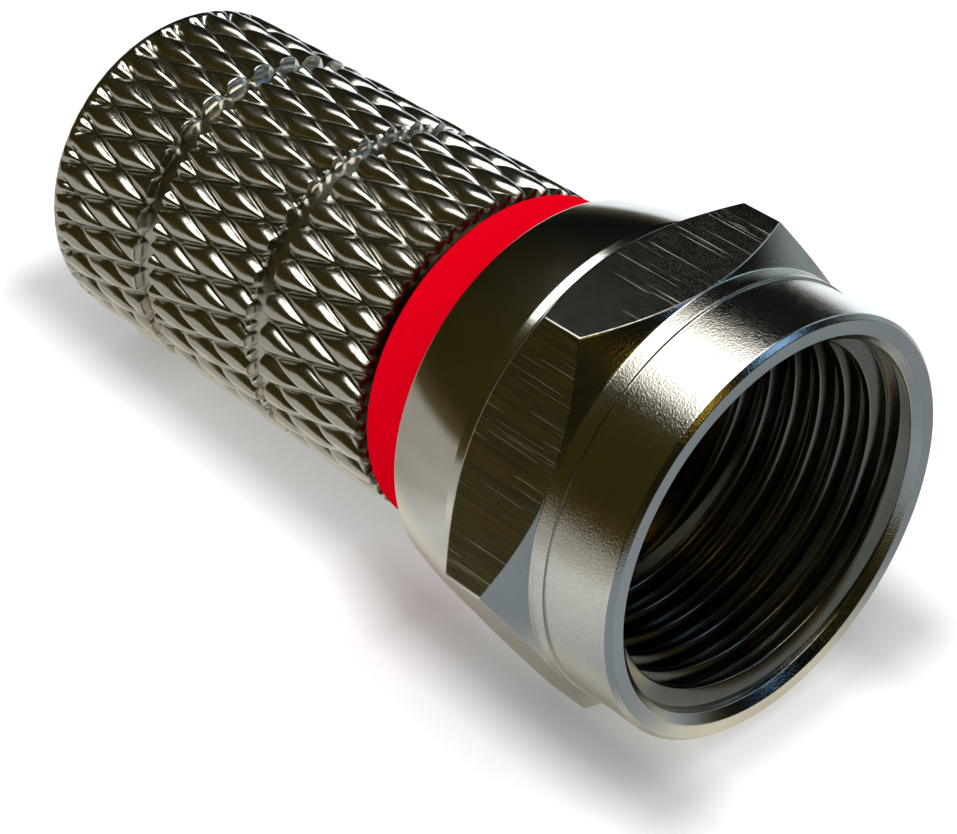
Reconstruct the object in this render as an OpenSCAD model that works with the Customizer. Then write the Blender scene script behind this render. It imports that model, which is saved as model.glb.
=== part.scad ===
// F connector of the twist-on kind, lying on its side: a free hexagonal coupling nut, a knurled
// barrel that screws over the cable's jacket, a flanged post pressed into the barrel that holds
// the nut on, and a soft red ring that closes the gap behind the nut.
//
// The connector's axis is X and +X points out of the mating end. The origin is on the axis, in
// the front face of the post, which is the plane where a socket stops. One flat of the hexagon
// faces straight down.

/* [Coupling nut] */
// Size across the hexagon's flats
nut_flats = 11; // [10.7:0.1:12]
// Length of the round front collar, from the rim to the foot of the front cone
collar_length = 2.45; // [2:0.05:4]
// Diameter of the front collar
collar_d = 10.86; // [10.7:0.02:10.9]
// Length of the slightly thicker land at the back of the collar
land_length = 0.45; // [0.2:0.05:1]
// How much thicker that land is, on the radius
land_height = 0.05; // [0.02:0.01:0.08]
// Chamfer on the outside of the rim
rim_chamfer = 0.12; // [0.05:0.01:0.25]
// Length of the cone that rises from the collar to the hexagon's corners
front_cone_length = 0.7; // [0.4:0.05:1.5]
// Length of the straight corner edges
corner_length = 1.1; // [0.5:0.1:4]
// Length of the cone that falls from the corners to the dome
back_cone_length = 0.75; // [0.4:0.05:1.5]
// Length of the dome behind the hexagon
dome_length = 2.5; // [2.2:0.1:4]
// Diameter of the dome where it is widest
dome_d = 10.9; // [10.7:0.02:10.96]
// Diameter of the dome at its rear edge
dome_end_d = 10.1; // [9.6:0.1:10.4]
// Diameter of the threaded hole at the thread's crests (3/8-32)
thread_minor_d = 8.7; // [8.6:0.05:8.9]
// Diameter of the mouth, where its countersink meets the rim
mouth_d = 9.94; // [9.6:0.02:10.2]
// Depth of the countersink
mouth_depth = 0.6; // [0.3:0.05:0.9]
// Diameter of the turned relief behind the thread
relief_d = 9.6; // [9.5:0.05:9.8]
// Length of that relief, in front of the nut's rear lip
relief_length = 1.3; // [1.1:0.1:1.8]
// Thickness of the rear lip that hangs behind the post's flange
lip_length = 0.8; // [0.6:0.1:1.5]

/* [Post] */
// Diameter of the bore for the cable's dielectric
post_bore_d = 4.8; // [4.6:0.1:5.2]
// Outer diameter of the post's shank
shank_d = 6.2; // [5.9:0.1:6.4]
// Diameter of the flange inside the nut
flange_d = 8.2; // [7.6:0.1:8.4]
// Thickness of the flange
flange_length = 0.7; // [0.5:0.1:1]
// Length of the shank that is pressed into the barrel
press_length = 3.3; // [2.5:0.1:4]
// Chamfer on the post's turned edges
post_chamfer = 0.12; // [0.05:0.01:0.2]

/* [Barrel] */
// Diameter over the knurl's diamonds
knurl_d = 9; // [8.8:0.1:9.6]
// Depth of the knurl's valleys
knurl_depth = 0.26; // [0.15:0.01:0.35]
// Number of diamonds round the barrel
knurl_count = 31; // [24:1:36]
// Length of one diamond along the barrel
knurl_pitch = 2.7; // [2:0.1:3.4]
// Distance from the front of the knurl to the middle of its first row of diamonds
knurl_start = 0.75; // [0:0.05:1.35]
// Length of the front band of knurl
front_band = 3.7; // [3:0.1:5]
// Length of the middle band of knurl
middle_band = 3.95; // [3:0.05:5]
// Length of the rear band of knurl
rear_band = 3.75; // [3:0.05:5]
// Length of the plain lip that ends the rear band
rear_lip = 0.3; // [0.1:0.05:0.8]
// Width of the two plain grooves between the bands
groove_width = 0.6; // [0.4:0.05:1]
// Diameter at the floor of the grooves
groove_d = 8.4; // [8:0.1:8.4]
// Chamfer on the edges of the bands
band_chamfer = 0.12; // [0.05:0.01:0.2]
// Radius of the rounded rear edge
rear_radius = 0.45; // [0.2:0.05:0.6]
// Diameter of the bore for the cable's jacket
cable_bore_d = 7; // [6.8:0.1:7.4]
// Chamfer at the mouth of that bore
cable_mouth = 0.25; // [0.1:0.05:0.35]
// Thickness of the web between the post's seat and the cable bore
web_length = 0.7; // [0.5:0.1:1.5]
// Length of the plain recess between the ring and the knurl
recess_length = 0.35; // [0.2:0.05:0.8]
// Height of the step from the ring's neck up to the floor of that recess
recess_step = 0.25; // [0.1:0.05:0.3]

/* [Red ring] */
// Length of the ring along the barrel
ring_length = 1.6; // [1.2:0.1:2.4]
// Thickness of the ring's wall
ring_wall = 0.68; // [0.5:0.02:0.8]
// Diameter of the neck that the ring sits on
neck_d = 7.6; // [7.2:0.1:7.8]
// Rounding of the ring's edges
ring_round = 0.15; // [0.05:0.05:0.3]

/* [Clearances] */
// Play of the nut's lip along the axis, in front of it and again behind it
nut_play = 0.1; // [0.05:0.01:0.2]
// Running clearance of the lip round the shank, on the radius
nut_clearance = 0.05; // [0.02:0.01:0.09]

/* [Hidden] */
$fn = 96;

// Stations along X, from the post's front face back to the barrel's rear face
lip_front = -flange_length - nut_play;
nut_back = lip_front - lip_length;
barrel_front = nut_back - nut_play;
ring_back = barrel_front - ring_length;
knurl_front = ring_back - recess_length;
first_groove = knurl_front - front_band;
second_groove = first_groove - groove_width - middle_band;
barrel_back = second_groove - groove_width - rear_band;
post_back = barrel_front - press_length;
cable_bore_front = post_back - web_length;

// Stations of the nut, counted forwards from its rear face
corner_back = nut_back + dome_length + back_cone_length;
corner_front = corner_back + corner_length;
collar_back = corner_front + front_cone_length;
nut_front = collar_back + collar_length;

corner_r = nut_flats / 2 / cos(30);
recess_r = neck_d / 2 + recess_step;
ring_r = neck_d / 2 + ring_wall;
corner_over = 0.2;  // the cones run on past the corners, so that the hexagon trims them
overlap = 0.5;      // how far a turned blank runs into the piece it is fused with
past = 1;           // how far a cutting shape runs past a face
seam_turn = 15;     // turns the start of each revolve clear of the hexagon's corners

// Turns a profile of [x, radius] points about the X axis
module turned(profile) {
    rotate([90, 0, 90])
        rotate(seam_turn)
            rotate_extrude()
                polygon([for (p = profile) [p[1], p[0]]]);
}

// A straight bore along X between two stations
module bore(x0, x1, d) {
    translate([min(x0, x1), 0, 0])
        rotate([0, 90, 0])
            cylinder(d = d, h = abs(x1 - x0));
}

// ---- Coupling nut ----

// Arc of the dome's profile from its widest point back to its rear edge
function dome_radius() = let (drop = (dome_d - dome_end_d) / 2) (pow(dome_length, 2) + pow(drop, 2)) / 2 / drop;
function dome_arc(steps) = [
    for (i = [0:steps])
        let (a = asin(dome_length / dome_radius()) * i / steps)
            [nut_back + dome_length - dome_radius() * sin(a), dome_d / 2 - dome_radius() * (1 - cos(a))]
];

// The nut as it leaves the lathe. Its two cones run on past the corners of the hexagon
module nut_blank() {
    collar_r = collar_d / 2;
    land_r = collar_r + land_height;
    front_slope = front_cone_length / (corner_r - land_r);
    back_slope = back_cone_length / (corner_r - dome_d / 2);
    turned(concat(
        [
            [nut_back, 0],
            [nut_front, 0],
            [nut_front, collar_r - rim_chamfer],
            [nut_front - rim_chamfer, collar_r],
            [collar_back + land_length, collar_r],
            [collar_back + land_length, land_r],
            [collar_back, land_r],
            [corner_front - corner_over * front_slope, corner_r + corner_over],
            [corner_back + corner_over * back_slope, corner_r + corner_over]
        ],
        dome_arc(12)
    ));
}

// Hexagonal bar stock with one flat facing down
module hexagon_bar() {
    translate([nut_back - past, 0, 0])
        rotate([0, 90, 0])
            rotate(30)
                cylinder(r = corner_r, h = nut_front - nut_back + 2 * past, $fn = 6);
}

module coupling_nut() {
    minor_r = thread_minor_d / 2;
    color("silver")
        difference() {
            intersection() {
                nut_blank();
                hexagon_bar();
            }
            turned([
                [nut_front + past, 0],
                [nut_front + past, mouth_d / 2],
                [nut_front, mouth_d / 2],
                [nut_front - mouth_depth, minor_r],
                [lip_front + relief_length, minor_r],
                [lip_front + relief_length, 0]
            ]);
            bore(lip_front, lip_front + relief_length, relief_d);
            bore(nut_back - past, lip_front + past, shank_d + 2 * nut_clearance);
        }
}

// ---- Post ----

module post() {
    color("gainsboro")
        difference() {
            turned([
                [0, 0],
                [0, flange_d / 2 - post_chamfer],
                [-post_chamfer, flange_d / 2],
                [-flange_length, flange_d / 2],
                [-flange_length, shank_d / 2],
                [post_back + post_chamfer, shank_d / 2],
                [post_back, shank_d / 2 - post_chamfer],
                [post_back, 0]
            ]);
            bore(post_back - past, past, post_bore_d);
        }
}

// ---- Knurled barrel ----

// Height of the knurl, from 0 in a valley to 1 on a diamond, at column i and station x.
// Two families of V-shaped valleys cross; a column is a quarter of a diamond wide.
function ridge(turns) = min(1, 4 * abs(turns - round(turns)));
function diamond(i, x) =
    let (along = (knurl_front - knurl_start - x) / knurl_pitch)
        min(ridge(i / 4 + along), ridge(i / 4 - along));

// Share of the knurl's depth at station x: the valleys run out on to the lip at the barrel's rear
function run_out(x) = max(0, min(1, (x - barrel_back - rear_lip) / rear_lip));

// Radius of the knurled surface, held under the limit that the edge of a band sets
function knurl_radius(i, row) =
    min(row[1], knurl_d / 2 - knurl_depth * run_out(row[0]) * (1 - diamond(i, row[0])));

// Rows of a rounded edge at station x: sign is 1 where the band lies ahead of x, towards +X
function edge_rows(x, sign, size, steps) = [
    for (k = [0:steps])
        let (a = 90 * k / steps)
            [x + sign * size * (1 - cos(a)), knurl_d / 2 - size * (1 - sin(a))]
];

// Rows between the edges, at each quarter of a diamond's length
function middle_rows(low, high) =
    let (step = knurl_pitch / 4, zero = knurl_front - knurl_start)
        [
            for (j = [ceil((low - zero) / step):floor((high - zero) / step)])
                let (x = zero + j * step)
                    if (x - low > step / 5 && high - x > step / 5) [x, knurl_d / 2]
        ];

// Splits the patch between two rows and two columns along its valley or along a diamond's edge
function patch(a, b, c, d, radii) =
    let (
        ac = 2 * abs(radii[a] - radii[c]) + radii[a] + radii[c],
        bd = 2 * abs(radii[b] - radii[d]) + radii[b] + radii[d]
    )
        ac < bd ? [[a, c, b], [a, d, c]] : [[a, d, b], [b, d, c]];

// One solid band of knurl between two stations
module knurled_band(back, front, back_edge, back_steps) {
    columns = 4 * knurl_count;
    back_rows = edge_rows(back, 1, back_edge, back_steps);
    front_rows = edge_rows(front, -1, band_chamfer, 1);
    rows = concat(
        back_rows,
        middle_rows(back + back_edge, front - band_chamfer),
        [for (k = [len(front_rows) - 1:-1:0]) front_rows[k]]
    );
    last = (len(rows) - 1) * columns;
    radii = [for (row = rows) for (i = [0:columns - 1]) knurl_radius(i, row)];
    points = [
        for (j = [0:len(rows) - 1])
            for (i = [0:columns - 1])
                let (r = radii[j * columns + i], a = 360 * i / columns)
                    [rows[j][0], r * cos(a), r * sin(a)]
    ];
    centres = [[back, 0, 0], [front, 0, 0]];
    side = [
        for (j = [0:len(rows) - 2])
            for (i = [0:columns - 1])
                let (here = j * columns, next = (i + 1) % columns)
                    each patch(here + i, here + next, here + columns + next, here + columns + i, radii)
    ];
    back_face = [for (i = [0:columns - 1]) [len(points), i, (i + 1) % columns]];
    front_face = [for (i = [0:columns - 1]) [len(points) + 1, last + (i + 1) % columns, last + i]];
    polyhedron(points = concat(points, centres), faces = concat(side, back_face, front_face));
}

module knurled_barrel() {
    cable_mouth_r = cable_bore_d / 2 + cable_mouth;
    color("silver")
        difference() {
            union() {
                knurled_band(first_groove, knurl_front, band_chamfer, 1);
                knurled_band(second_groove, first_groove - groove_width, band_chamfer, 1);
                knurled_band(barrel_back, second_groove - groove_width, rear_radius, 3);
                bore(second_groove - groove_width - overlap, first_groove + overlap, groove_d);
                turned([
                    [knurl_front - overlap, 0],
                    [barrel_front, 0],
                    [barrel_front, neck_d / 2],
                    [ring_back, neck_d / 2],
                    [ring_back, recess_r],
                    [knurl_front - overlap, recess_r]
                ]);
            }
            bore(post_back, barrel_front + past, shank_d);
            bore(cable_bore_front - past, post_back + past, post_bore_d);
            bore(barrel_back - past, cable_bore_front, cable_bore_d);
            turned([
                [barrel_back - past, 0],
                [barrel_back - past, cable_mouth_r],
                [barrel_back, cable_mouth_r],
                [barrel_back + cable_mouth, cable_bore_d / 2],
                [barrel_back + cable_mouth, 0]
            ]);
        }
}

// ---- Red ring ----

module red_ring() {
    color("red")
        turned([
            [ring_back, neck_d / 2],
            [barrel_front, neck_d / 2],
            [barrel_front, ring_r - ring_round],
            [barrel_front - ring_round * (1 - cos(45)), ring_r - ring_round * (1 - sin(45))],
            [barrel_front - ring_round, ring_r],
            [ring_back + ring_round, ring_r],
            [ring_back + ring_round * (1 - cos(45)), ring_r - ring_round * (1 - sin(45))],
            [ring_back, ring_r - ring_round]
        ]);
}

coupling_nut();
post();
knurled_barrel();
red_ring();
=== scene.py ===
"""Dresses a twist-on coaxial plug: coupling nut, post, knurled barrel and red sealing ring."""

import math

import bpy
import numpy as np
from mathutils import Matrix, Vector


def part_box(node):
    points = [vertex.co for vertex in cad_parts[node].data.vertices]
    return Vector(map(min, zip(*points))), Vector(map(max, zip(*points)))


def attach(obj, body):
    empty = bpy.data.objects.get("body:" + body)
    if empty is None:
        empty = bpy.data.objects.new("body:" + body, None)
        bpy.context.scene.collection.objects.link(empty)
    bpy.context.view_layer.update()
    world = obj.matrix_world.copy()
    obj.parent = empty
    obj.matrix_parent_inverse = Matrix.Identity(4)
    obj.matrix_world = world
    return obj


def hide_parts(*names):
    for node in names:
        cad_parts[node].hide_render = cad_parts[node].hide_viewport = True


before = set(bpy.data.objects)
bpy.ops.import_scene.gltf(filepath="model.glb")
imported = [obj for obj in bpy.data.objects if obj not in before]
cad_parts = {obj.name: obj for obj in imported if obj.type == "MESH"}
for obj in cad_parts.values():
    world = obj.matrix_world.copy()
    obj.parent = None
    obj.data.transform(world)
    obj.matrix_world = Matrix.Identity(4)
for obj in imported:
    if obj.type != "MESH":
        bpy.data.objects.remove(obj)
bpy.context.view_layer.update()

MM = 0.001


# ---- Sizes in millimetres: x runs along the axis out of the mating end, r is a radius ----

def reach_along(node):
    """Rear and front ends of a CAD node along the axis."""
    low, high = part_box(node)
    return low.x / MM, high.x / MM


NUT_BACK, RIM = reach_along("coupling_nut")
POST_BACK, POST_FRONT = reach_along("post")
BARREL_BACK, BARREL_FRONT = reach_along("knurled_barrel")
RING_BACK, RING_FRONT = reach_along("red_ring")

# Coupling nut
HALF_FLATS = 5.5
CORNER_R = HALF_FLATS / math.cos(math.radians(30))
CORNER_ROUNDING = 0.1
DOME_R, DOME_END_R, DOME_LENGTH = 5.45, 5.05, 2.5
DOME_BEVEL, BEVEL_DROP, DOME_LAST_SLOPE = 0.25, 0.025, math.radians(5)
DOME_FRONT = NUT_BACK + DOME_LENGTH
CORNER_BACK = DOME_FRONT + 0.75
CORNER_FRONT = CORNER_BACK + 1.1
LAND_BACK = CORNER_FRONT + 0.7
LAND_FRONT = LAND_BACK + 0.45
LAND_R, COLLAR_R = 5.48, 5.43
RIM_CHAMFER = 0.12
MOUTH_R, MOUTH_SLOPE = 4.97, 0.6 / 0.62
THREAD_ROOT_R, THREAD_CREST_R, THREAD_PITCH = 4.7625, 4.35, 0.794
RELIEF_R, RELIEF_FRONT, LIP_FRONT, LIP_R = 4.8, 0.5, -0.8, 3.15

# Post
POST_BORE_R, SHANK_R, FLANGE_R, FLANGE_BACK = 2.4, 3.1, 4.1, -0.7

# Barrel
KNURL_R, KNURL_DEPTH, KNURL_COUNT, KNURL_PITCH = 4.5, 0.26, 31, 2.7
NECK_R, RECESS_R, GROOVE_R, CORE_R = 3.8, 4.05, 4.2, 4.0
KNURL_FRONT = RING_BACK - 0.35
FIRST_GROOVE = KNURL_FRONT - 3.7
SECOND_GROOVE = FIRST_GROOVE - 0.6 - 3.95
GROOVE_WIDTH = 0.6
FIRST_ROW = KNURL_FRONT - 0.75
BAND_EDGE, REAR_EDGE, REAR_LIP = 0.06, 0.45, 0.3
CABLE_BORE_R, JACKET_ROOT_R, JACKET_PITCH = 3.5, 3.72, 1.27
WEB_BACK = POST_BACK - 0.7
CABLE_MOUTH = 0.25

# Red ring
RING_R, RING_ROUNDING = 4.48, 0.15


# ---- Wiring of node trees ----

class Wire:
    """An output socket. Sums written with it add Math nodes to its tree."""

    def __init__(self, bench, socket):
        self.bench, self.socket = bench, socket

    def __add__(self, other): return self.bench.math("ADD", self, other)
    def __radd__(self, other): return self.bench.math("ADD", other, self)
    def __sub__(self, other): return self.bench.math("SUBTRACT", self, other)
    def __rsub__(self, other): return self.bench.math("SUBTRACT", other, self)
    def __mul__(self, other): return self.bench.math("MULTIPLY", self, other)
    def __rmul__(self, other): return self.bench.math("MULTIPLY", other, self)
    def __truediv__(self, other): return self.bench.math("DIVIDE", self, other)
    def __pow__(self, other): return self.bench.math("POWER", self, other)
    def __mod__(self, other): return self.bench.math("FLOORED_MODULO", self, other)
    def __abs__(self): return self.bench.math("ABSOLUTE", self)
    def __gt__(self, other): return self.bench.math("GREATER_THAN", self, other)
    def __lt__(self, other): return self.bench.math("LESS_THAN", self, other)


class Bench:
    """Adds nodes to one tree, of a material, the world or Geometry Nodes."""

    def __init__(self, tree):
        self.tree = tree

    def feed(self, socket, value):
        if isinstance(value, Wire):
            self.tree.links.new(value.socket, socket)
        elif value is not None:
            socket.default_value = value

    def node(self, kind, settings=None, inputs=None, out=0):
        """Adds a node: settings come first, then the values or wires of its sockets."""
        node = self.tree.nodes.new(kind)
        for name, value in (settings or {}).items():
            setattr(node, name, value)
        for key, value in (inputs or {}).items():
            self.feed(node.inputs[key], value)
        return Wire(self, node.outputs[out]) if len(node.outputs) else node

    def math(self, operation, *values):
        return self.node("ShaderNodeMath", {"operation": operation}, dict(enumerate(values)))

    def low(self, a, b): return self.math("MINIMUM", a, b)
    def high(self, a, b): return self.math("MAXIMUM", a, b)
    def within(self, value, low, high): return self.low(self.high(value, low), high)
    def ramp(self, value, start, end): return self.within((value - start) / (end - start), 0, 1)

    def tint(self, factor, a, b):
        """Mixes two colours."""
        return self.node("ShaderNodeMix", {"data_type": "RGBA"}, {0: factor, 6: a, 7: b}, out=2)

    def parts(self, vector):
        """The three numbers of a vector."""
        node = self.tree.nodes.new("ShaderNodeSeparateXYZ")
        self.feed(node.inputs[0], vector)
        return [Wire(self, output) for output in node.outputs]

    def vector(self, x, y, z):
        return self.node("ShaderNodeCombineXYZ", None, {0: x, 1: y, 2: z})

    def noise(self, vector, scale, detail=2.0, roughness=0.5):
        return self.node("ShaderNodeTexNoise", {"noise_dimensions": "3D"},
                         {"Vector": vector, "Scale": scale, "Detail": detail, "Roughness": roughness})

    def seen(self):
        """1 where a thing is seen, directly or in a reflection, and 0 for the light that it gives others."""
        rays = self.tree.nodes.new("ShaderNodeLightPath").outputs
        camera, glossy, through = (Wire(self, rays[kind]) for kind in
                                   ("Is Camera Ray", "Is Glossy Ray", "Is Transmission Ray"))
        return self.high(camera, self.high(glossy, through))


# ---- Turned forms ----

def eased(corners, columns, steps=4, guard=0.03):
    """Rows round a closed section, from corners (x, r, rounding).

    x and r may hold a value for each column. A rounding of None keeps the point as it is.
    Each eased corner also gets a row close by on both sides, so that flat faces stay flat.
    """
    places = np.array([[np.broadcast_to(np.asarray(value, float), columns) for value in corner[:2]]
                       for corner in corners])
    rows = []
    for i, corner in enumerate(corners):
        here = places[i]
        if corner[2] is None:
            rows.append(here)
            continue
        before, after = places[i - 1] - here, places[(i + 1) % len(corners)] - here
        length_before, length_after = np.hypot(*before), np.hypot(*after)
        before, after = before / length_before, after / length_after
        half = np.arccos(np.clip((before * after).sum(0), -1, 1)) / 2
        shorter = np.minimum(length_before, length_after)
        cut = np.minimum(corner[2] / np.tan(half), 0.4 * shorter)
        rows.append(here + before * (cut + np.minimum(guard, 0.09 * length_before)))
        for s in np.linspace(0, 1, steps + 1):
            rows.append(here + before * cut * (1 - s) ** 2 + after * cut * s ** 2)
        rows.append(here + after * (cut + np.minimum(guard, 0.09 * length_after)))
    return np.array(rows)


def revolved(name, section, angles, marks=None):
    """Closed shell from the rows of a section at each angle about the axis."""
    count, _, columns = section.shape
    x, r = section[:, 0], section[:, 1]
    points = np.stack([x, r * np.cos(angles), r * np.sin(angles)], -1).reshape(-1, 3) * MM
    row, column = np.meshgrid(np.arange(count), np.arange(columns), indexing="ij")
    next_row, next_column = (row + 1) % count, (column + 1) % columns
    faces = np.stack([row * columns + column, row * columns + next_column,
                      next_row * columns + next_column, next_row * columns + column], -1).reshape(-1, 4)
    a, b, c = (points[faces[:, k]] for k in range(3))
    d = points[faces[:, 3]]
    if (np.cross(a, b) * c).sum() + (np.cross(a, c) * d).sum() < 0:
        faces = faces[:, ::-1]
    mesh = bpy.data.meshes.new(name)
    mesh.from_pydata(points.tolist(), [], faces.tolist())
    for label, values in (marks or {}).items():
        mark = mesh.attributes.new(label, "FLOAT", "POINT")
        mark.data.foreach_set("value", values.ravel().astype(np.float32))
    return placed(name, mesh)


def placed(name, mesh):
    """Object for a mesh, smooth but for its sharp edges."""
    mesh.shade_smooth()
    mesh.set_sharp_from_angle(angle=math.radians(50))
    piece = bpy.data.objects.new(name, mesh)
    bpy.context.scene.collection.objects.link(piece)
    return piece


def turned(name, corners, columns=192, steps=4):
    """Round piece turned from the corners of its section."""
    angles = np.arange(columns) * 2 * math.pi / columns
    return revolved(name, eased(corners, columns, steps), angles)


# ---- Coupling nut ----

def nut_angles():
    """Angles round the nut, close together at the corners of the hexagon."""
    # Degrees from a corner to the middle of a flat
    near = [0, 0.2, 0.4, 0.6, 0.9, 1.5, 2.6, 4.2]
    side = near + [6 + 1.5 * k for k in range(17)]
    sector = side + [60 - angle for angle in side[:0:-1]]
    sector = sorted({round(angle, 4) for angle in sector})
    return np.radians([60 * k + angle for k in range(6) for angle in sector])


def bar_radius(angles):
    """Distance from the axis to the hexagonal bar's surface, its corners eased."""
    off = np.abs((np.degrees(angles)) % 60 - 30)
    flat = HALF_FLATS / np.cos(np.radians(off))
    centre = (HALF_FLATS - CORNER_ROUNDING) / math.cos(math.radians(30))
    tangent = math.degrees(math.atan2(centre * 0.5, HALF_FLATS))
    to_corner = np.radians(30 - off)
    inside = np.maximum(CORNER_ROUNDING ** 2 - (centre * np.sin(to_corner)) ** 2, 0)
    return np.where(off > tangent, centre * np.cos(to_corner) + np.sqrt(inside), flat)


def dome_profile(steps=14):
    """Points of the dome from its rear edge to its front bevel, without these two ends."""
    length, drop = DOME_LENGTH - DOME_BEVEL, DOME_R - DOME_END_R
    first = 2 * math.atan(drop / length) - DOME_LAST_SLOPE
    radius = length / (math.sin(first) - math.sin(DOME_LAST_SLOPE))
    slopes = [first + (DOME_LAST_SLOPE - first) * k / steps for k in range(1, steps)]
    return [(NUT_BACK + radius * (math.sin(first) - math.sin(a)),
             DOME_END_R + radius * (math.cos(a) - math.cos(first)), None) for a in slopes]


def coupling_nut():
    """Nut with its dome, hexagon, collar and mouth. Two cones trim the hexagon behind and in front."""
    angles = nut_angles()
    bar_r = bar_radius(angles)
    back_slope = (CORNER_BACK - DOME_FRONT) / (CORNER_R - DOME_R)
    front_slope = (LAND_BACK - CORNER_FRONT) / (CORNER_R - LAND_R)
    corners = [
        (NUT_BACK, LIP_R, 0.05),
        (NUT_BACK, DOME_END_R, 0.1),
        *dome_profile(),
        (DOME_FRONT - DOME_BEVEL, DOME_R, 0.03),
        (DOME_FRONT, DOME_R - BEVEL_DROP, 0.04),
        (CORNER_BACK - (CORNER_R - bar_r) * back_slope, bar_r, 0.06),
        (CORNER_FRONT + (CORNER_R - bar_r) * front_slope, bar_r, 0.06),
        (LAND_BACK, LAND_R, 0.05),
        (LAND_FRONT, LAND_R, 0.03),
        (LAND_FRONT, COLLAR_R, 0.03),
        (RIM - RIM_CHAMFER, COLLAR_R, 0.05),
        (RIM, COLLAR_R - RIM_CHAMFER, 0.05),
        (RIM, MOUTH_R, 0.04),
        (RIM - (MOUTH_R - THREAD_ROOT_R) * MOUTH_SLOPE, THREAD_ROOT_R, 0.05),
        (RELIEF_FRONT + 0.04, THREAD_ROOT_R, 0.02),
        (RELIEF_FRONT, RELIEF_R, 0.02),
        (LIP_FRONT, RELIEF_R, 0.12),
        (LIP_FRONT, LIP_R, 0.05),
    ]
    section = eased(corners, len(angles))
    # An eased corner takes a guard row, five rows on its curve and a guard row. The flats run from
    # the middle of the hexagon's rear edge to the middle of its front edge.
    rows_to_corner = 7
    first_flat = 4 * rows_to_corner + len(dome_profile()) + 3
    on_flat = np.zeros(section[:, 0].shape)
    on_flat[first_flat:first_flat + rows_to_corner + 1] = 1
    return revolved("nut_body", section, angles, {"flat_side": on_flat})


# ---- Geometry Nodes: tree, inputs and result ----

def new_tree(name, sizes):
    """Geometry Nodes tree with a named input for each size, and a Material input."""
    tree = bpy.data.node_groups.new(name, "GeometryNodeTree")
    for label, value in sizes.items():
        kind = "NodeSocketInt" if isinstance(value, int) else "NodeSocketFloat"
        tree.interface.new_socket(label, in_out="INPUT", socket_type=kind).default_value = value
    tree.interface.new_socket("Material", in_out="INPUT", socket_type="NodeSocketMaterial")
    tree.interface.new_socket("Geometry", in_out="OUTPUT", socket_type="NodeSocketGeometry")
    bench = Bench(tree)
    group = tree.nodes.new("NodeGroupInput")
    wires = {output.name: Wire(bench, output) for output in group.outputs if output.name}
    return tree, bench, wires


def close_tree(bench, geometry, material):
    """Ends a tree with Realize Instances and Set Material."""
    solid = bench.node("GeometryNodeRealizeInstances", None, {0: geometry})
    finished = bench.node("GeometryNodeSetMaterial", None, {"Geometry": solid, "Material": material})
    output = bench.tree.nodes.new("NodeGroupOutput")
    bench.feed(output.inputs[0], finished)


def grown(name, tree, sizes, material):
    """The tree's result as a plain mesh."""
    seed = bpy.data.objects.new(name, bpy.data.meshes.new(name))
    bpy.context.scene.collection.objects.link(seed)
    modifier = seed.modifiers.new("shape", "NODES")
    modifier.node_group = tree
    for item in tree.interface.items_tree:
        if item.item_type == "SOCKET" and item.in_out == "INPUT":
            if item.name in sizes:
                modifier[item.identifier] = sizes[item.name]
            elif item.name == "Material":
                modifier[item.identifier] = material
    evaluated = seed.evaluated_get(bpy.context.evaluated_depsgraph_get())
    mesh = bpy.data.meshes.new_from_object(evaluated)
    mesh.name = name
    seed.modifiers.remove(modifier)
    seed.data = mesh
    return seed


# ---- Knurl ----

DIVISIONS = 16   # columns to a diamond, and rows to its length
EDGE_STEPS = 4   # rows round the edge of a band
ROUNDNESS = 3.4  # a higher number gives a fuller diamond and a narrower valley


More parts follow.
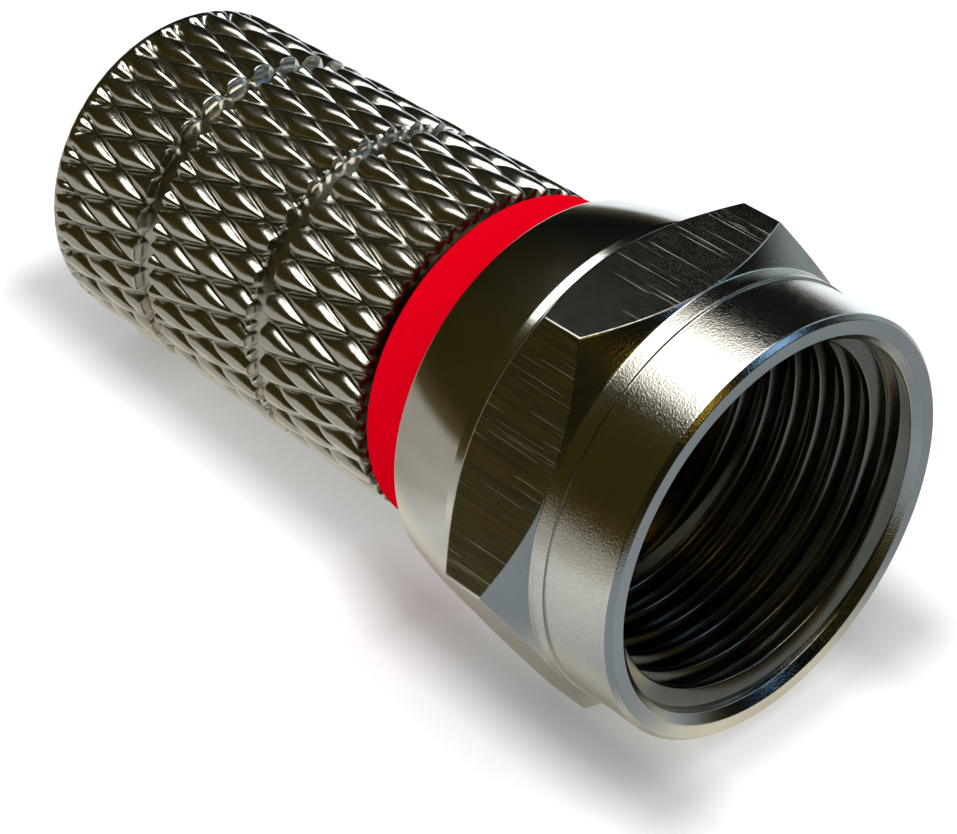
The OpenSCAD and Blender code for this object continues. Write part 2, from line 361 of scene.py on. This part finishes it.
def knurled_band_tree():
    """One closed band: two families of valleys cross, and each edge is rounded off."""
    sizes = {"Back": 0.0, "Front": 1.0, "Back Edge": 0.1, "Front Edge": 0.1, "Radius": 1.0,
             "Core Radius": 0.5, "Depth": 0.1, "Count": 31, "Pitch": 1.0, "First Row": 0.0, "Lip": 0.0,
             "Run Out": 0.001}
    tree, bench, size = new_tree("knurled_band", sizes)
    back, front, radius = size["Back"], size["Front"], size["Radius"]
    back_edge, front_edge = size["Back Edge"], size["Front Edge"]
    step = size["Pitch"] / DIVISIONS
    inner = bench.math("CEIL", (front - back) / step) + 2
    lead = EDGE_STEPS + 2
    path = inner + (2 * lead)
    columns = size["Count"] * DIVISIONS
    grid = bench.node("GeometryNodeMeshGrid", None,
                      {"Size X": 1.0, "Size Y": 1.0, "Vertices X": columns + 1, "Vertices Y": path + 1})
    index = bench.node("GeometryNodeInputIndex")
    row = (index % (path + 1)) % path
    column = bench.math("FLOOR", (index + 0.5) / (path + 1))

    quarter = math.pi / 2
    back_turn = bench.within((row - 1) / EDGE_STEPS, 0, 1) * quarter
    front_turn = (1 - bench.within((row - lead - inner) / EDGE_STEPS, 0, 1)) * quarter
    lowest = back + back_edge * (1 - bench.math("COSINE", back_turn))
    highest = front - front_edge * (1 - bench.math("COSINE", front_turn))
    first = bench.math("FLOOR", (back + back_edge - size["First Row"]) / step)
    station = bench.within(size["First Row"] + (first + row - lead) * step, lowest, highest)
    limit = (radius - back_edge * (1 - bench.math("SINE", back_turn))
             - front_edge * (1 - bench.math("SINE", front_turn)))

    around = column / DIVISIONS
    along = (size["First Row"] - station) / size["Pitch"]

    def side(turns):
        """0 in a valley, rising to a rounded top half way to the next."""
        away = abs(turns - bench.math("ROUND", turns)) * 2
        return 1 - (1 - away) ** ROUNDNESS

    rise = side(around + along) * side(around - along)
    rise = 1 - (1 - rise) * bench.within((station - back - size["Lip"]) / size["Run Out"], 0, 1)
    skin = bench.low(limit, radius - size["Depth"] * (1 - rise))
    hidden = bench.high(row < 0.5, row > path - 1.5)
    distance = skin + (size["Core Radius"] - skin) * hidden
    angle = column / columns * (2 * math.pi)
    place = bench.vector(station, distance * bench.math("COSINE", angle),
                         distance * bench.math("SINE", angle))

    shaped = bench.node("GeometryNodeSetPosition", None, {"Geometry": grid, "Position": place})
    marked = bench.node("GeometryNodeStoreNamedAttribute", {"data_type": "FLOAT", "domain": "POINT"},
                        {"Geometry": shaped, "Name": "rise", "Value": rise})
    closed = bench.node("GeometryNodeMergeByDistance", None, {"Geometry": marked, "Distance": 1e-6})
    split = bench.node("GeometryNodeTriangulate", None, {0: closed})
    smooth = bench.node("GeometryNodeSetShadeSmooth", None, {"Geometry": split})
    close_tree(bench, smooth, size["Material"])
    return tree


def knurl_tree(band):
    """The three bands, parted by two plain grooves."""
    sizes = {"Back": 0.0, "Second Groove": 0.1, "First Groove": 0.2, "Front": 1.0, "Groove Width": 0.1,
             "Rear Edge": 0.1, "Rear Lip": 0.1, "Edge": 0.1, "Radius": 1.0, "Core Radius": 0.5, "Depth": 0.1,
             "Count": 31, "Pitch": 1.0, "First Row": 0.0}
    tree, bench, size = new_tree("barrel_knurl", sizes)
    run_out = size["Rear Lip"] * 0.8
    ends = [
        (size["Back"], size["Second Groove"] - size["Groove Width"], size["Rear Edge"], size["Rear Lip"]),
        (size["Second Groove"], size["First Groove"] - size["Groove Width"], size["Edge"], run_out * -1),
        (size["First Groove"], size["Front"], size["Edge"], run_out * -1),
    ]
    join = tree.nodes.new("GeometryNodeJoinGeometry")
    for back, front, back_edge, lip in ends:
        inputs = {label: size[label]
                  for label in ("Radius", "Core Radius", "Depth", "Count", "Pitch", "First Row")}
        inputs.update({"Back": back, "Front": front, "Back Edge": back_edge, "Front Edge": size["Edge"],
                       "Lip": lip, "Run Out": run_out, "Material": size["Material"]})
        bench.feed(join.inputs[0], bench.node("GeometryNodeGroup", {"node_tree": band}, inputs))
    close_tree(bench, Wire(bench, join.outputs[0]), size["Material"])
    return tree


def thread_tree():
    """A helical ridge along X that fades at both ends. Its profile is a trapezium with eased crests."""
    sizes = {"Start": 0.0, "Turns": 5.0, "Pitch": 0.001, "Root Radius": 0.005, "Height": 0.0004,
             "Crest Width": 0.0002, "Root Width": 0.0007, "Sink": 0.00005, "Fade": 0.003}
    tree, bench, size = new_tree("thread_ridge", sizes)
    base = size["Root Radius"] + size["Sink"]
    height = size["Height"] + size["Sink"]
    helix = bench.node("GeometryNodeCurveSpiral", None,
                       {"Resolution": 120, "Rotations": size["Turns"], "Start Radius": base,
                        "End Radius": base, "Height": size["Turns"] * size["Pitch"], "Reverse": True})
    upright = bench.node("GeometryNodeSetCurveNormal", {"mode": "Z_UP"}, {"Curve": helix})
    along = bench.node("GeometryNodeSplineParameter", out=1)
    from_end = bench.low(along, bench.node("GeometryNodeSplineLength") - along)
    fade = bench.high(bench.low(from_end / size["Fade"], 1), 0.02)
    trapezium = bench.node("GeometryNodeCurvePrimitiveQuadrilateral", {"mode": "TRAPEZOID"},
                           {"Height": height, "Bottom Width": size["Root Width"],
                            "Top Width": size["Crest Width"], "Offset": 0.0})
    eased_crest = bench.node("GeometryNodeFilletCurve", {"mode": "POLY"},
                             {"Curve": trapezium, "Count": 3, "Radius": size["Crest Width"] * 0.4})
    profile = bench.node("GeometryNodeTransform", None,
                         {"Geometry": eased_crest, "Translation": bench.vector(height * -0.5, 0, 0),
                          "Rotation": (0, 0, math.pi / 2)})
    ridge = bench.node("GeometryNodeCurveToMesh", None,
                       {"Curve": upright, "Profile Curve": profile, "Scale": fade, "Fill Caps": True})
    laid = bench.node("GeometryNodeTransform", None,
                      {"Geometry": ridge, "Translation": bench.vector(size["Start"], 0, 0),
                       "Rotation": (0, math.pi / 2, 0)})
    close_tree(bench, laid, size["Material"])
    return tree


# ---- Finishes ----

def cleared(owner):
    """Bench for a material or a world, without its first nodes."""
    owner.use_nodes = True
    owner.node_tree.nodes.clear()
    return Bench(owner.node_tree)


def new_finish(name):
    """Material, its bench, and the place on the piece in millimetres along X, Y and Z."""
    material = bpy.data.materials.new(name)
    bench = cleared(material)
    place = bench.node("ShaderNodeTexCoord", out=3)
    return material, bench, [axis / MM for axis in bench.parts(place)]


def close_finish(bench, shader):
    bench.node("ShaderNodeOutputMaterial", None, {"Surface": shader})


# Darker plate that each relief maker mixes in: for wear lines, grain, darker patches and the knurl's
# valleys, and as painted shade in the recess behind the ring and at the knurl's front end.
WEAR_AND_SHADE_PLATE = (0.17, 0.15, 0.10, 1)


def nickel(name, warm, dull, polish, relief, height_maker):
    """Nickel plate: colour from dull to warm, roughness from polish upwards, and a relief in mm."""
    material, bench, (x, y, z) = new_finish(name)
    here = bench.vector(x, y, z)
    clouds = bench.noise(here, 0.45, 3.0)
    smudge = bench.noise(here, 2.6, 4.0, 0.6)
    tone = bench.tint(bench.ramp(clouds, 0.35, 0.65), dull, warm)
    height, wear_and_shade = height_maker(bench, x, y, z, here)
    # Mixes in the darker plate: real wear and grain, and painted shade where the relief maker paints it.
    colour = bench.tint(wear_and_shade, tone, WEAR_AND_SHADE_PLATE)
    roughness = polish + 0.08 * smudge + 0.12 * wear_and_shade
    normal = bench.node("ShaderNodeBump", None, {"Strength": 1.0, "Distance": relief * MM, "Height": height})
    shader = bench.node("ShaderNodeBsdfPrincipled", None,
                        {"Base Color": colour, "Metallic": 1.0, "Roughness": roughness, "Normal": normal})
    close_finish(bench, shader)
    return material


def nut_relief(bench, x, y, z, here):
    """Turning lines round the lathed faces, drawn lines along the flats, and the plate's fine grain."""
    flat = bench.node("ShaderNodeAttribute", {"attribute_name": "flat_side"}, out=2)
    turning = bench.noise(bench.vector(x * 16, y * 0.5, z * 0.5), 1.0, 3.0, 0.6)
    drawn = bench.noise(bench.vector(x * 0.25, y * 18, z * 18), 1.0, 4.0, 0.75)
    deep = bench.ramp(bench.noise(bench.vector(x * 0.2, y * 12, z * 12), 1.0, 2.0), 0.65, 0.69)
    grain = bench.noise(here, 20.0, 2.0, 0.6)
    collar = bench.ramp(x, LAND_BACK - 0.3, LAND_BACK)
    behind_rim = bench.ramp(x, RIM - 0.1, RIM - 0.3)
    scratches = (0.6 * drawn - 0.65 * deep) * flat
    height = 0.35 * turning * (1 - flat) + scratches + (0.4 + 1.5 * collar) * grain
    lines = (0.7 * bench.ramp(drawn, 0.42, 0.6) + 0.1 * deep) * flat
    speckle = 0.12 * (collar * behind_rim) * bench.ramp(grain, 0.55, 0.45)
    return height, lines + speckle


def thread_relief(bench, x, y, z, here):
    """Cut metal, duller in places."""
    return 0.5 * bench.noise(here, 9.0, 3.0, 0.6), 0.5 * bench.noise(here, 1.5, 2.0)


def knurl_relief(bench, x, y, z, here):
    """Rolled metal: rough and darker in the valleys, burnished on the tops, with painted shade at the front
    end beside the recess.
    """
    rise = bench.node("ShaderNodeAttribute", {"attribute_name": "rise"}, out=2)
    grain = bench.noise(here, 11.0, 3.0, 0.65)
    valley = 1 - bench.ramp(rise, 0.0, 0.3)
    # Painted shade: the knurl's front end, beside the recess before the ring, is painted dark.
    front_end_shade = bench.ramp(x, KNURL_FRONT - 0.12, KNURL_FRONT - 0.03)
    return grain * (1.0 + 0.6 * valley), bench.high(valley * 0.75, front_end_shade)


def lathe_relief(bench, x, y, z, here):
    """Turning lines, and painted shade in the recess behind the ring."""
    turning = bench.noise(bench.vector(x * 14, y * 0.4, z * 0.4), 1.0, 3.0, 0.6)
    height = 0.6 * turning + 0.4 * bench.noise(here, 12.0, 2.0)
    # Painted shade: dark from just behind the knurl's front end, through the recess, to the ring's front.
    in_recess = bench.ramp(x, KNURL_FRONT - 0.5, KNURL_FRONT - 0.2)
    recess_shade = 0.8 * in_recess * bench.ramp(x, RING_FRONT + 0.2, RING_FRONT)
    return height, 0.12 * turning + recess_shade


def red_rubber():
    """Matt red rubber with a faint bloom and a fine skin."""
    material, bench, (x, y, z) = new_finish("sealing_red_rubber")
    here = bench.vector(x, y, z)
    bloom = bench.noise(here, 1.3, 3.0)
    skin = bench.noise(here, 16.0, 3.0, 0.6)
    colour = bench.tint(bench.ramp(bloom, 0.3, 0.75), (0.80, 0.0, 0.011, 1), (0.77, 0.0, 0.011, 1))
    normal = bench.node("ShaderNodeBump", None, {"Strength": 1.0, "Distance": 0.004 * MM, "Height": skin})
    shader = bench.node("ShaderNodeBsdfPrincipled", None,
                        {"Base Color": colour, "Roughness": 0.8 + 0.12 * bloom, "Specular IOR Level": 0.0,
                         "Normal": normal})
    close_finish(bench, shader)
    return material


# ---- Pieces ----

NICKEL_WARM, NICKEL_DULL = (0.70, 0.675, 0.60, 1), (0.63, 0.60, 0.53, 1)
# Painted shade: the nut's threads take a darker copy of the nickel, for the shade deep inside the nut.
SHADED_THREAD_WARM, SHADED_THREAD_DULL = (0.40, 0.36, 0.28, 1), (0.30, 0.27, 0.21, 1)
nut_plate = nickel("turned_nickel_nut", NICKEL_WARM, NICKEL_DULL, 0.10, 0.003, nut_relief)
shaded_thread_plate = nickel("shaded_nickel_thread", SHADED_THREAD_WARM, SHADED_THREAD_DULL, 0.14, 0.003, thread_relief)
knurl_plate = nickel("rolled_nickel_knurl", NICKEL_WARM, NICKEL_DULL, 0.15, 0.004, knurl_relief)
barrel_plate = nickel("turned_nickel_barrel", NICKEL_WARM, NICKEL_DULL, 0.16, 0.003, lathe_relief)
post_plate = nickel("turned_nickel_post", NICKEL_WARM, NICKEL_DULL, 0.14, 0.003, lathe_relief)
ring_red = red_rubber()


def dress(piece, body, finish=None, node=None):
    """Gives a piece its body and finish, and hides the CAD node that it stands for."""
    if finish:
        piece.data.materials.clear()
        piece.data.materials.append(finish)
    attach(piece, body)
    if node:
        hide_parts(node)


dress(coupling_nut(), "nut", nut_plate, "coupling_nut")

thread_turns = (RIM - (MOUTH_R - THREAD_CREST_R) * MOUTH_SLOPE + 0.25 - RELIEF_FRONT) / THREAD_PITCH
threads = thread_tree()
dress(grown("nut_thread", threads, {
    "Start": RELIEF_FRONT * MM, "Turns": thread_turns, "Pitch": THREAD_PITCH * MM,
    "Root Radius": THREAD_ROOT_R * MM, "Height": (THREAD_ROOT_R - THREAD_CREST_R) * MM,
    "Crest Width": 0.2 * MM, "Root Width": 0.68 * MM, "Sink": 0.05 * MM, "Fade": 5.0 * MM}, shaded_thread_plate),
    "nut")

dress(turned("post_turned", [
    (POST_FRONT, POST_BORE_R, 0.08), (POST_FRONT, FLANGE_R, 0.12), (FLANGE_BACK, FLANGE_R, 0.06),
    (FLANGE_BACK, SHANK_R, 0.06), (POST_BACK, SHANK_R, 0.12), (POST_BACK, POST_BORE_R, 0.06),
]), "barrel", post_plate, "post")

band = knurled_band_tree()
dress(grown("barrel_knurl", knurl_tree(band), {
    "Back": BARREL_BACK * MM, "Second Groove": SECOND_GROOVE * MM, "First Groove": FIRST_GROOVE * MM,
    "Front": KNURL_FRONT * MM, "Groove Width": GROOVE_WIDTH * MM, "Rear Edge": REAR_EDGE * MM,
    "Rear Lip": REAR_LIP * MM, "Edge": BAND_EDGE * MM, "Radius": KNURL_R * MM, "Core Radius": CORE_R * MM,
    "Depth": KNURL_DEPTH * MM, "Count": KNURL_COUNT, "Pitch": KNURL_PITCH * MM,
    "First Row": FIRST_ROW * MM}, knurl_plate),
    "barrel", node="knurled_barrel")

core_back = BARREL_BACK + 0.004
dress(turned("barrel_core", [
    (core_back, CABLE_BORE_R + CABLE_MOUTH, 0.05),
    (BARREL_BACK + CABLE_MOUTH, JACKET_ROOT_R - 0.02, 0.05),
    (WEB_BACK, JACKET_ROOT_R, 0.1), (WEB_BACK, POST_BORE_R, 0.05),
    (POST_BACK, POST_BORE_R, 0.03), (POST_BACK, SHANK_R, 0.03),
    (BARREL_FRONT, SHANK_R, 0.06), (BARREL_FRONT, NECK_R, 0.06),
    (RING_BACK, NECK_R, 0.03), (RING_BACK, RECESS_R, 0.06),
    (KNURL_FRONT - 0.2, RECESS_R, 0.03), (KNURL_FRONT - 0.25, GROOVE_R, 0.03),
    (BARREL_BACK + 0.6, GROOVE_R, 0.05), (core_back, KNURL_R - REAR_EDGE, 0.02),
]), "barrel", barrel_plate)

jacket_start, jacket_end = BARREL_BACK + CABLE_MOUTH + 0.5, WEB_BACK - 0.5
dress(grown("jacket_thread", threads, {
    "Start": jacket_start * MM, "Turns": (jacket_end - jacket_start) / JACKET_PITCH,
    "Pitch": JACKET_PITCH * MM, "Root Radius": JACKET_ROOT_R * MM,
    "Height": (JACKET_ROOT_R - CABLE_BORE_R) * MM,
    "Crest Width": 0.12 * MM, "Root Width": 0.7 * MM, "Sink": 0.05 * MM, "Fade": 6.0 * MM}, barrel_plate),
    "barrel")

dress(turned("sealing_ring", [
    (RING_BACK, NECK_R, 0.05), (RING_FRONT, NECK_R, 0.05),
    (RING_FRONT, RING_R, RING_ROUNDING), (RING_BACK, RING_R, RING_ROUNDING),
]), "barrel", ring_red, "red_ring")


# ---- Table, studio and camera ----

TABLE_TILT = math.atan((HALF_FLATS - KNURL_R) / (DOME_FRONT - BARREL_BACK - 0.2))
TABLE_HALF, TABLE_CELLS = 1.2, 12
FILM_HALF, FILM_LIFT = 1.0, 0.02 * MM
STUDIO_CENTRE = Vector((2, 0, 0)) * MM
TENT_RADIUS, TENT_FOOT, TENT_ROWS, TENT_COLUMNS = 0.09, -12, 48, 96


def table_height(x):
    """Height of the table: the nut's lower flat and the barrel's rear end both rest on it."""
    return -HALF_FLATS * MM - (x - DOME_FRONT * MM) * math.tan(TABLE_TILT)


def sheet_mesh(name, points, faces):
    """Stage sheet from its points and faces."""
    mesh = bpy.data.meshes.new(name)
    mesh.from_pydata(points, [], faces)
    sheet = bpy.data.objects.new(name, mesh)
    bpy.context.scene.collection.objects.link(sheet)
    return sheet


def only_reflected(sheet):
    """Leaves a sheet to be seen in reflections alone."""
    sheet.visible_camera = sheet.visible_diffuse = sheet.visible_shadow = False
    sheet.visible_transmission = sheet.visible_volume_scatter = False


def table():
    """White table. Its shade deepens close to the plug, under the nut most of all."""
    side = TABLE_CELLS + 1
    lines = [TABLE_HALF * (2 * k / TABLE_CELLS - 1) for k in range(side)]
    points = [(x, y, table_height(x)) for x in lines for y in lines]
    faces = [(i * side + j, (i + 1) * side + j, (i + 1) * side + j + 1, i * side + j + 1)
             for i in range(TABLE_CELLS) for j in range(TABLE_CELLS)]
    sheet = sheet_mesh("table", points, faces)
    material, bench, (x, y, z) = new_finish("white_table")
    nut = bench.ramp(x, -5.5, -2.5)
    along = bench.high(bench.high(x - RIM, BARREL_BACK - 3.2 - x), 0)
    across = bench.high(abs(y - 0.5 * nut) - (2.9 + 1.3 * nut), 0)
    away = (along * along + across * across) ** 0.5
    beside = (1 - nut) * bench.ramp(x, BARREL_BACK - 0.5, BARREL_BACK + 3)
    below = nut * bench.ramp(abs(y), 3.4, 2.0)
    # Painted shadow: the table's glow and its paper colour drop close to the plug.
    glow = 0.13 + 0.16 * beside + 0.25 * below + 0.32 * bench.ramp(away, 0.4, 2.0)
    shade = 0.8 - 0.24 * bench.ramp(away, 1.8, 0)
    paper = bench.node("ShaderNodeBsdfDiffuse", None, {"Color": bench.vector(shade, shade, shade)})
    lift = bench.node("ShaderNodeEmission", None, {"Color": bench.vector(glow, glow, glow), "Strength": 1.0})
    both = bench.node("ShaderNodeAddShader", None, {0: paper, 1: lift})
    close_finish(bench, bench.node("ShaderNodeMixShader", None, {0: bench.seen(), 1: paper, 2: both}))
    sheet.data.materials.append(material)


table()


def smoked_film():
    """Thin film just over the table. Only reflections pass through it, and it dims the table in them."""
    corners = [(side * FILM_HALF, end * FILM_HALF) for side, end in ((-1, -1), (1, -1), (1, 1), (-1, 1))]
    points = [(x, y, table_height(x) + FILM_LIFT) for x, y in corners]
    film = sheet_mesh("smoked_film", points, [(0, 1, 2, 3)])
    only_reflected(film)
    material, bench, (x, y, z) = new_finish("smoke")
    smoke = bench.tint(bench.ramp(x, 7, -1), (0.20, 0.24, 0.28, 1), (0.54, 0.56, 0.57, 1))
    smoke = bench.tint(bench.ramp(x, -5, -9), smoke, (0.33, 0.32, 0.30, 1))
    # Painted reflections: the table under the plug, up to just past the rim, shows lighter and cream, and
    # towards +Y beside the barrel it shows bluish.
    under = bench.ramp(abs(y), 7, 3) * bench.ramp(x, RIM + 2.2, RIM + 0.8)
    smoke = bench.tint(0.9 * under, smoke, (0.95, 0.90, 0.76, 1))
    smoke = bench.tint(bench.ramp(y, 6, 14) * bench.ramp(x, 2, -4), smoke, (0.85, 0.92, 1.0, 1))
    close_finish(bench, bench.node("ShaderNodeBsdfTransparent", None, {"Color": smoke}))
    film.data.materials.append(material)


smoked_film()


def direction(turn, height):
    """Unit vector, from degrees. Turn is 0 towards -Y and 90 towards +X, and height is 90 upwards."""
    turn, height = math.radians(turn), math.radians(height)
    return Vector((math.cos(height) * math.sin(turn), -math.cos(height) * math.cos(turn), math.sin(height)))


def studio():
    """Dark olive tent round the table, with a soft white panel. Only the metal's reflections show it."""
    points, faces = [], []
    for i in range(TENT_ROWS + 1):
        height = TENT_FOOT + (90 - TENT_FOOT) * i / TENT_ROWS
        for j in range(TENT_COLUMNS):
            points.append(STUDIO_CENTRE + TENT_RADIUS * direction(360 * j / TENT_COLUMNS, height))
    for i in range(TENT_ROWS):
        for j in range(TENT_COLUMNS):
            here, side = i * TENT_COLUMNS + j, i * TENT_COLUMNS + (j + 1) % TENT_COLUMNS
            faces.append((here, side, side + TENT_COLUMNS, here + TENT_COLUMNS))
    tent = sheet_mesh("studio_tent", points, faces)
    only_reflected(tent)
    material = bpy.data.materials.new("tent_cloth")
    bench = cleared(material)
    place = bench.node("ShaderNodeTexCoord", out=3)
    centred = bench.node("ShaderNodeVectorMath", {"operation": "SUBTRACT"}, {0: place, 1: STUDIO_CENTRE})
    x, y, z = [axis / TENT_RADIUS for axis in bench.parts(centred)]
    degrees = 180 / math.pi
    height = bench.math("ARCSINE", bench.within(z, -1, 1)) * degrees
    turn = (bench.math("ARCTAN2", x, 0 - y) * degrees + 270) % 360 - 270

    # Olive cloth, black to the left, which takes a little colour from the table near its foot
    warm = bench.ramp(turn + 0.5 * bench.high(height - 20, 0), -125, -45)
    warm = warm * (1 - 0.7 * bench.ramp(turn, -20, 15))
    folds = 0.5 + bench.noise(bench.vector(x, y, z), 5.0, 3.0, 0.6)
    cloth = bench.tint(warm * folds, (0.003, 0.004, 0.003, 1), (0.036, 0.028, 0.006, 1))
    cloth = bench.tint(0.3 * bench.ramp(height, 10, -6), cloth, (0.34, 0.26, 0.10, 1))
    # Bluish window behind
    window = bench.tint(bench.ramp(height, 36, 4), (0.03, 0.07, 0.09, 1), (0.30, 0.36, 0.40, 1))
    cloth = bench.tint(bench.ramp(turn, -152, -160) * bench.ramp(turn, -206, -194), cloth, window)

    def patch(turn, height, whole, edge):
        """1 in a round patch of the tent, falling to 0 at its edge. All are angles in degrees."""
        aim = direction(turn, height)
        facing = x * aim.x + y * aim.y + z * aim.z
        return bench.ramp(bench.math("ARCCOSINE", bench.within(facing, -1, 1)) * degrees, edge, whole)

    # Small lights in blue, gold and white, then the white panel overhead
    cloth = bench.tint(patch(-186, 34, 9, 17), cloth, (0.7, 0.95, 1.15, 1))
    cloth = bench.tint(patch(86, 40, 4, 7), cloth, (0.9, 0.6, 0.08, 1))
    cloth = bench.tint(patch(130, 36, 6, 10), cloth, (0.4, 0.8, 1.4, 1))
    cloth = bench.tint(patch(-172, 4, 10, 20), cloth, (0.6, 0.78, 0.9, 1))
    light = patch(-115, 78, 23, 28) * 3.0
    glow = bench.node("ShaderNodeEmission", None, {"Color": cloth, "Strength": 1.0})
    lamp = bench.node("ShaderNodeEmission", None, {"Color": (1, 1, 1, 1), "Strength": light})
    shader = bench.node("ShaderNodeAddShader", None, {0: glow, 1: lamp})
    close_finish(bench, shader)
    tent.data.materials.append(material)


studio()


def surroundings():
    """White room. It is a little brighter where it is seen than as a light."""
    world = bpy.data.worlds.new("pale_room")
    bpy.context.scene.world = world
    bench = cleared(world)
    room = bench.node("ShaderNodeBackground", None, {"Color": (1, 1, 1, 1), "Strength": 0.87})
    backdrop = bench.node("ShaderNodeBackground", None, {"Color": (1, 1, 1, 1), "Strength": 1.0})
    shader = bench.node("ShaderNodeMixShader", None, {0: bench.seen(), 1: room, 2: backdrop})
    bench.node("ShaderNodeOutputWorld", None, {"Surface": shader})


surroundings()


def soft_lamp(name, turn, height, distance, size, power):
    """Square lamp aimed at the nut. It isn't seen in the metal, where the tent's panel stands for it."""
    data = bpy.data.lights.new(name, "AREA")
    data.shape, data.size, data.energy = "SQUARE", size, power
    lamp = bpy.data.objects.new(name, data)
    towards = direction(turn, height)
    lamp.location = STUDIO_CENTRE + towards * distance
    lamp.rotation_euler = towards.to_track_quat("Z", "Y").to_euler()
    lamp.visible_camera = lamp.visible_glossy = False
    bpy.context.scene.collection.objects.link(lamp)


soft_lamp("panel_lamp", 110, 78, 0.3, 0.24, 0.2)


CAMERA_PLACE, CAMERA_LENS = Vector((37.18, -35.90, 40.43)) * MM, 103.13
CAMERA_RIGHT, CAMERA_UP = Vector((0.6735, 0.7384, -0.0338)), Vector((-0.4362, 0.4340, 0.7883))


def camera():
    """Camera before the mating end, above it and to one side."""
    data = bpy.data.cameras.new("camera")
    data.sensor_width, data.lens = 36, CAMERA_LENS
    data.clip_start, data.clip_end = 0.002, 20
    view = bpy.data.objects.new("camera", data)
    back = CAMERA_RIGHT.cross(CAMERA_UP).normalized()
    up = back.cross(CAMERA_RIGHT).normalized()
    turn = Matrix((up.cross(back), up, back)).transposed().to_4x4()
    view.matrix_world = Matrix.Translation(CAMERA_PLACE) @ turn
    bpy.context.scene.collection.objects.link(view)
    bpy.context.scene.camera = view


camera()
bpy.context.scene.view_settings.view_transform = "Standard"
